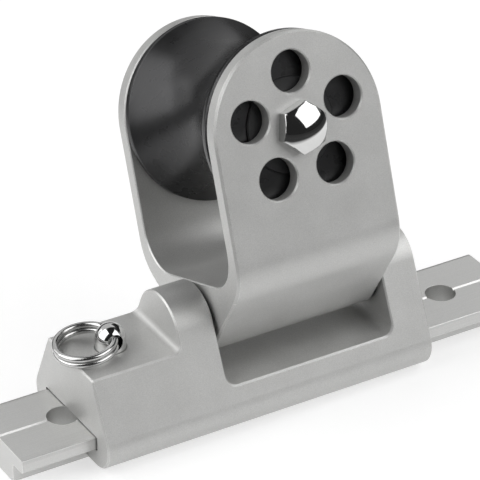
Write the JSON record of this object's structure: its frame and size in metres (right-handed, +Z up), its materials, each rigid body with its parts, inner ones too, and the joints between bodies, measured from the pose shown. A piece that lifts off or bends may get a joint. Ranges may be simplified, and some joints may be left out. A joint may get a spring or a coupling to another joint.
{
  "type": "sheet lead block on a track car",
  "caption": "Tilting yoke with a wide sheave on a track car, with a sprung plunger pin and pull ring, on a length of T-track.",
  "frame": {"origin": "on the track's flat underside and centre line, straight below the middle of the yoke's hinge", "axes": "+X along the track, away from the plunger; +Z up, away from the deck; +Y is the side the yoke leans to"},
  "size_m": [0.1823, 0.0858, 0.1219],
  "materials": {
    "track_alloy": "satin anodised",
    "cast_alloy": "fine bead-blasted",
    "black_alloy": "black anodised, satin",
    "black_bearing": "matt moulded",
    "steel": "plain turned",
    "polished_steel": "mirror polished"
  },
  "bodies": {
    "rail": {"track": "track_alloy"},
    "car": {"car_body": "cast_alloy", "hinge_pin": "steel", "hinge_screw": "steel", "hinge_washer_left": "black_bearing", "hinge_washer_right": "black_bearing"},
    "tilting_yoke": {"yoke": "cast_alloy", "hinge_bush_left": "black_bearing", "hinge_bush_right": "black_bearing", "axle_bolt": "polished_steel", "axle_sleeve": "steel", "axle_washer": "steel", "axle_nut": "steel"},
    "roller": {"sheave": "black_alloy", "sheave_bush_front": "black_bearing", "sheave_bush_back": "black_bearing"},
    "plunger": {"plunger_pin": "polished_steel", "plunger_clip": "steel", "plunger_spring": "steel"},
    "ring": {"pull_ring": "polished_steel"}
  },
  "joints": [
    {"name": "car_slide", "type": "slide", "parent": "rail", "child": "car", "axis": [1, 0, 0], "range_m": [-0.024, 0.038]},
    {"name": "yoke_hinge", "type": "hinge", "parent": "car", "child": "tilting_yoke", "pos_m": [0, 0, 0.031], "axis": [1, 0, 0], "range_deg": [-29, 67]},
    {"name": "sheave_spin", "type": "hinge", "parent": "tilting_yoke", "child": "roller", "pos_m": [0, 0.01844, 0.08441], "axis": [0, 0.9452, -0.3264], "continuous": true},
    {"name": "plunger_lift", "type": "slide", "parent": "car", "child": "plunger", "axis": [0, 0, 1], "range_m": [0, 0.0046], "stiffness_N_per_m": 300, "springref_m": -0.008, "deforming": ["plunger_spring"]},
    {"name": "ring_swing", "type": "hinge", "parent": "plunger", "child": "ring", "pos_m": [-0.0596, 0, 0.034], "axis": [0.1045, 0.9945, 0], "range_deg": [0, 115]}
  ]
}
